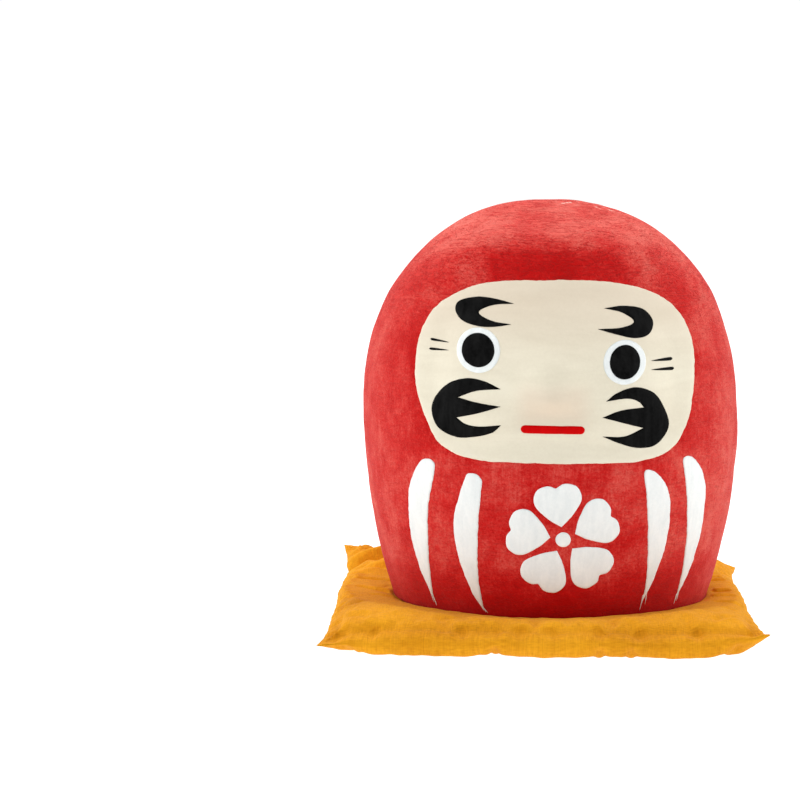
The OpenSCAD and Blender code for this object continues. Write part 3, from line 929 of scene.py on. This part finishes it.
def limp_pillow():
    """The cushion before it settles: its points, faces, held points and sewn points."""
    n = CLOTH_CELLS + 1
    sheet = spanned(n)
    edge_z, inwards = sheet[..., 2], to_edge(n)
    from_doll = np.hypot(sheet[..., 0], sheet[..., 1] - DOLL_Y)
    crest = CREST + 0.55 * (edge_z - 4)
    tips = sheet[[0, 0, -1, -1], [0, -1, 0, -1], :2]
    from_tip = np.linalg.norm(sheet[:, :, None, :2] - tips, axis=3)
    pinch = np.minimum(from_tip / TIP_REACH, 1).min(2) ** 0.6
    puff = rounded(inwards / CREST_REACH) * pinch
    top_z = edge_z + (crest - edge_z) * puff
    seat = step(from_doll, *SEAT_FADE)
    top_z = top_z * (1 - seat) + (REST_Z - SEAT_GAP) * seat
    low_reach = 4 + 2.2 * np.maximum(edge_z - 3.3, 0)
    low_z = edge_z - (edge_z - LOW_Z) * rounded(inwards / low_reach) * pinch
    faces, top, low = pillow_faces(n)
    points = np.zeros((n * n + (n - 2) ** 2, 3))
    for index, z, seed in ((low, low_z, 2), (top, top_z, 1)):
        ripple = grain(sheet[..., :2].reshape(-1, 2), 3.5, seed).reshape(n, n)
        z = z + 0.15 * ripple * step(from_doll, 40, 44) * step(inwards, 0, 3)
        points[index] = np.dstack([sheet[..., :2], z])
    seam = inwards < 1e-6
    held = np.where(np.hypot(points[:, 0], points[:, 1] - DOLL_Y) < HELD_R)[0].tolist()
    held += top[seam & (from_tip.min(2) < STIFF_CORNER)].tolist()
    return points, faces, held, top[seam].tolist()


def blank(name, verts, faces):
    """A bare mesh for the solver, made of points in millimetres."""
    mesh = bpy.data.meshes.new(name)
    mesh.from_pydata((np.asarray(verts) * MM * CLOTH_SCALE).tolist(), [], faces)
    made = bpy.data.objects.new(name, mesh)
    bpy.context.scene.collection.objects.link(made)
    return made


def foot_radius(z):
    """Radius of the large doll's outside at heights z above its rim."""
    up = RIM_ROUND - np.minimum(z, RIM_ROUND)
    return outline_at(np.maximum(z, RIM_ROUND))[0] - RIM_ROUND + np.sqrt(RIM_ROUND**2 - up**2)


def foot_solid():
    """The lower part of the large doll as a closed solid that the cloth rests against."""
    steps = 96
    z = np.array([0, 0.2, 1, 8, 16])
    radius = foot_radius(z)
    turn = np.arange(steps) * 2 * math.pi / steps
    verts = [
        (r * math.cos(a), DOLL_Y + r * math.sin(a), REST_Z + h)
        for r, h in zip(radius, z) for a in turn
    ]
    faces = [(a, d, c, b) for a, b, c, d in rings(len(z), steps)]
    ends = [tuple(range(steps))[::-1], tuple(range((len(z) - 1) * steps, len(z) * steps))]
    return blank("foot_solid", verts, faces + ends)


def inflate(verts, faces, held, seam):
    """Fills the pillow with air while the doll stands on it, and returns its points."""
    scene = bpy.context.scene
    pillow = blank("pillow", verts, faces)
    table = blank("table", square(5 * CUSHION_HALF), [(0, 1, 2, 3)])
    foot = foot_solid()
    for solid in (table, foot):
        solid.modifiers.new("collision", "COLLISION")
        solid.collision.thickness_outer = 0.002
    pins = pillow.vertex_groups.new(name="held")
    pins.add(seam, 0.7, "REPLACE")
    pins.add(held, 1.0, "REPLACE")
    pillow.vertex_groups.new(name="seam").add(seam, 1.0, "REPLACE")
    cloth = pillow.modifiers.new("cloth", "CLOTH")
    for key, value in CLOTH_SETTINGS.items():
        setattr(cloth.settings, key, value)
    cloth.settings.effector_weights.gravity = 0.6  # the solver's cushion is ten times too wide
    cloth.settings.vertex_group_mass = "held"
    cloth.settings.vertex_group_shrink = "seam"
    cloth.collision_settings.distance_min = 0.003
    scene.frame_start, scene.frame_end = 1, SETTLE_FRAMES
    for number in range(1, SETTLE_FRAMES + 1):
        scene.frame_set(number)
    settled = pillow.evaluated_get(bpy.context.evaluated_depsgraph_get()).to_mesh()
    points = np.empty(len(settled.vertices) * 3)
    settled.vertices.foreach_get("co", points)
    for made in (pillow, table, foot):
        bpy.data.objects.remove(made)
    scene.frame_set(1)
    return points.reshape(-1, 3) / MM / CLOTH_SCALE


def fold_height(plan):
    """Depth of the pressed folds at places in plan, with a low ridge to one side."""
    height = np.zeros(len(plan))
    for start, end, width, depth in FOLDS:
        start, along = np.array(start), np.array(end) - np.array(start)
        t = ((plan - start) @ along) / (along @ along)
        away = (plan - start - t[:, None] * along) @ [-along[1], along[0]]
        away = away / np.linalg.norm(along) + 0.5 * width * np.sin(5 * t)
        ridge = 0.7 * np.exp(-(((away - 2 * width) / width) ** 2))
        shape = ridge - np.exp(-((away / width) ** 2))
        height += depth * shape * step(t, -0.1, 0.4) * step(t, 1.2, 0.7)
    return height


def front_crease(side, cut, inwards):
    """Where the top panel is pressed in along the front seam, from 0 to 1."""
    return (side > 0) * np.exp(-(((inwards - 2.5) / 1.5) ** 2)) * step(cut[:, 1], -30, -45)


def cloth_detail(side, points, cut, inwards):
    """Height of the wrinkles and puckers of one panel above its settled shape."""
    along = np.where(np.abs(cut[:, 0]) > np.abs(cut[:, 1]), cut[:, 1], cut[:, 0])
    reach = 6 + 3 * grain(np.c_[along, along * 0 + side], 9, 5)
    pucker = grain(np.c_[along, inwards * 0.2 + 40 * side], 1.7, 6)
    pucker = pucker * np.exp(-inwards / reach * 2.2) * step(inwards, 0, 0.8)
    wrinkle = 0.1 * grain(cut, 4.5, 7) + 0.05 * grain(cut, 1.9, 8)
    height = (0.45 if side > 0 else 0.2) * pucker + wrinkle * step(inwards, 0, 4)
    height += 0.35 * step(inwards, 0, 0.6) * np.exp(-((inwards / 1.3) ** 2))
    height -= front_crease(side, cut, inwards)
    return height + (fold_height(points[:, :2]) if side > 0 else 0)


def clear_of_doll(points):
    """Keeps cloth points below the large doll's paper and above the table."""
    points[:, 2] = np.maximum(points[:, 2], TABLE_GAP)
    axis = points[:, :2] - [0, DOLL_Y]
    away = np.maximum(np.linalg.norm(axis, axis=1), 1e-9)
    # The crest may stand higher behind the doll and far from it.
    limit = CREST_LIMIT + 8 * step(axis[:, 1], 15, 35) + 0.4 * np.maximum(away - 50, 0)
    points[:, 2] -= 0.75 * np.maximum(points[:, 2] - limit, 0)
    heights = np.concatenate([np.linspace(0, 1, 21), np.linspace(1.2, 20, 95)])
    headroom = np.interp(away, foot_radius(heights) + SIDE_GAP, heights, right=1000)
    points[:, 2] = np.minimum(points[:, 2], REST_Z - SEAT_GAP + headroom)
    return points


def make_cushion():
    """The cover, settled under the doll and wrinkled, and the wadding in it."""
    points, faces, held, seam = limp_pillow()
    laid = points[seam]
    points = inflate(points, faces, held, seam)
    points[seam] = (points[seam] + laid) / 2
    _, top, low = pillow_faces(CLOTH_CELLS + 1)
    n = CLOTH_CELLS * FINER + 1
    faces, fine_top, fine_low = pillow_faces(n)
    line = np.linspace(CUSHION_LOW[0], CUSHION_HIGH[0], n)
    cut = np.stack(np.meshgrid(line, line, indexing="ij"), 2).reshape(-1, 2)
    inwards = to_edge(n).ravel()
    fine = np.zeros((n * n + (n - 2) ** 2, 3))
    weave = np.zeros((len(fine), 3))
    for side, coarse, index in ((-1, low, fine_low), (1, top, fine_top)):
        grid = finer(points[coarse], FINER)
        du, dv = np.gradient(grid, axis=(0, 1))
        normal = np.cross(du, dv).reshape(-1, 3)
        normal *= side / np.maximum(np.linalg.norm(normal, axis=1), 1e-9)[:, None]
        grid = grid.reshape(-1, 3)
        away = np.hypot(grid[:, 0], grid[:, 1] - DOLL_Y)
        free = step(away, 38.5, 41)
        if side > 0:  # a collar of cloth leans on the doll's front and sides
            collar = step(away, 38.5, 40) * step(away, 52, 45) * step(grid[:, 1], 28, 10)
            grid[:, 2] += 0.8 * collar * (COLLAR_Z + 0.06 * (away - 40) - grid[:, 2])
        height = cloth_detail(side, grid, cut, inwards) * free
        fine[index.ravel()] = grid + normal * height[:, None]
        weave[index.ravel(), :2] = cut
        # The front crease's depth also goes into the colour, as painted shade.
        weave[index.ravel(), 2] = front_crease(side, cut, inwards)
    cover = new_piece("cushion_cover", clear_of_doll(fine), faces, GOLD)
    mark(cover, "weave", weave)
    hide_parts("cushion_top_panel", "cushion_bottom_panel")
    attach(cover, "cushion")
    make_wadding(points)


def make_wadding(points):
    """The loose cotton in the cover, lumpy and smaller than it all round."""
    _, top, low = pillow_faces(CLOTH_CELLS + 1)
    inner = slice(3, -3)
    above, below = finer(points[top][inner, inner], 2), finer(points[low][inner, inner], 2)
    n = len(above)
    line = np.linspace(0, 1, n)
    near = np.minimum(line, 1 - line)
    near = np.minimum(near[:, None], near[None])
    share = FILLING * rounded(near / FILLING_EDGE)[..., None]
    lump = 1 + 0.15 * grain(above[..., :2].reshape(-1, 2), 6, 9).reshape(n, n, 1)
    middle, half = (above + below) / 2, (above - below) / 2 * share * lump
    faces, upper, under = pillow_faces(n)
    cotton = np.zeros((n * n + (n - 2) ** 2, 3))
    cotton[under] = middle - half
    cotton[upper] = middle + half
    cotton[:, 2] = np.minimum(cotton[:, 2], REST_Z - 1)
    wadding = new_piece("cushion_filling", cotton, faces, COTTON)
    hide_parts("cushion_wadding")
    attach(wadding, "cushion")


make_cushion()

# ---- Camera, floor and light ----

CAMERA_BACK = 750
CAMERA_UP = 130
CAMERA_DIP = 5.71  # degrees below level
CAMERA_TURN = 2.86  # degrees to the left of the doll
LENS = 135.0

camera_data = bpy.data.cameras.new("camera")
camera_data.lens = LENS
camera_data.sensor_width = 36
camera = bpy.data.objects.new("camera", camera_data)
bpy.context.scene.collection.objects.link(camera)
camera.location = Vector((0, DOLL_Y - CAMERA_BACK, CAMERA_UP)) * MM
camera.rotation_euler = (math.radians(90 - CAMERA_DIP), 0, math.radians(CAMERA_TURN))
bpy.context.scene.camera = camera

floor_mesh = bpy.data.meshes.new("floor")
floor_mesh.from_pydata(square(3), [], [(0, 1, 2, 3)])
floor = bpy.data.objects.new("floor", floor_mesh)
bpy.context.scene.collection.objects.link(floor)
ground = Shader("light_table")
floor_mesh.materials.append(ground.finish(
    Base_Color=(0.25, 0.25, 0.25), Roughness=0.9,
    Emission_Color=(1, 1, 1), Emission_Strength=1.1,
))


def white_room():
    """A world that is white at the horizon and dimmer overhead."""
    world = bpy.data.worlds.new("white_room")
    bpy.context.scene.world = world
    world.use_nodes = True
    nodes, links = world.node_tree.nodes, world.node_tree.links
    at = nodes.new("ShaderNodeTexCoord")
    split = nodes.new("ShaderNodeSeparateXYZ")
    fade = nodes.new("ShaderNodeMapRange")
    fade.interpolation_type = "SMOOTHSTEP"
    limits = {"From Min": 0.08, "From Max": 0.3, "To Min": 1.02, "To Max": 0.32}
    for key, value in limits.items():
        fade.inputs[key].default_value = value
    links.new(at.outputs["Generated"], split.inputs[0])
    links.new(split.outputs["Z"], fade.inputs["Value"])
    links.new(fade.outputs["Result"], nodes["Background"].inputs["Strength"])
    nodes["Background"].inputs["Color"].default_value = (1, 1, 1, 1)


def area_light(name, place, target, size, power):
    """A soft box at place that faces target, in metres and watts."""
    data = bpy.data.lights.new(name, "AREA")
    data.shape = "RECTANGLE"
    data.size, data.size_y = size
    data.energy = power
    light = bpy.data.objects.new(name, data)
    light.location = place
    light.rotation_euler = (Vector(target) - Vector(place)).to_track_quat("-Z", "Y").to_euler()
    bpy.context.scene.collection.objects.link(light)


white_room()
area_light("top_box", (0, 0.2, 0.68), (0, 0, 0.05), (0.8, 0.7), 5.35)
area_light("left_box", (-0.7, -0.15, 0.42), (0, 0, 0.05), (0.5, 0.7), 3.45)
area_light("right_box", (0.7, -0.15, 0.42), (0, 0, 0.05), (0.5, 0.7), 2.7)
bpy.context.scene.view_settings.view_transform = "Standard"
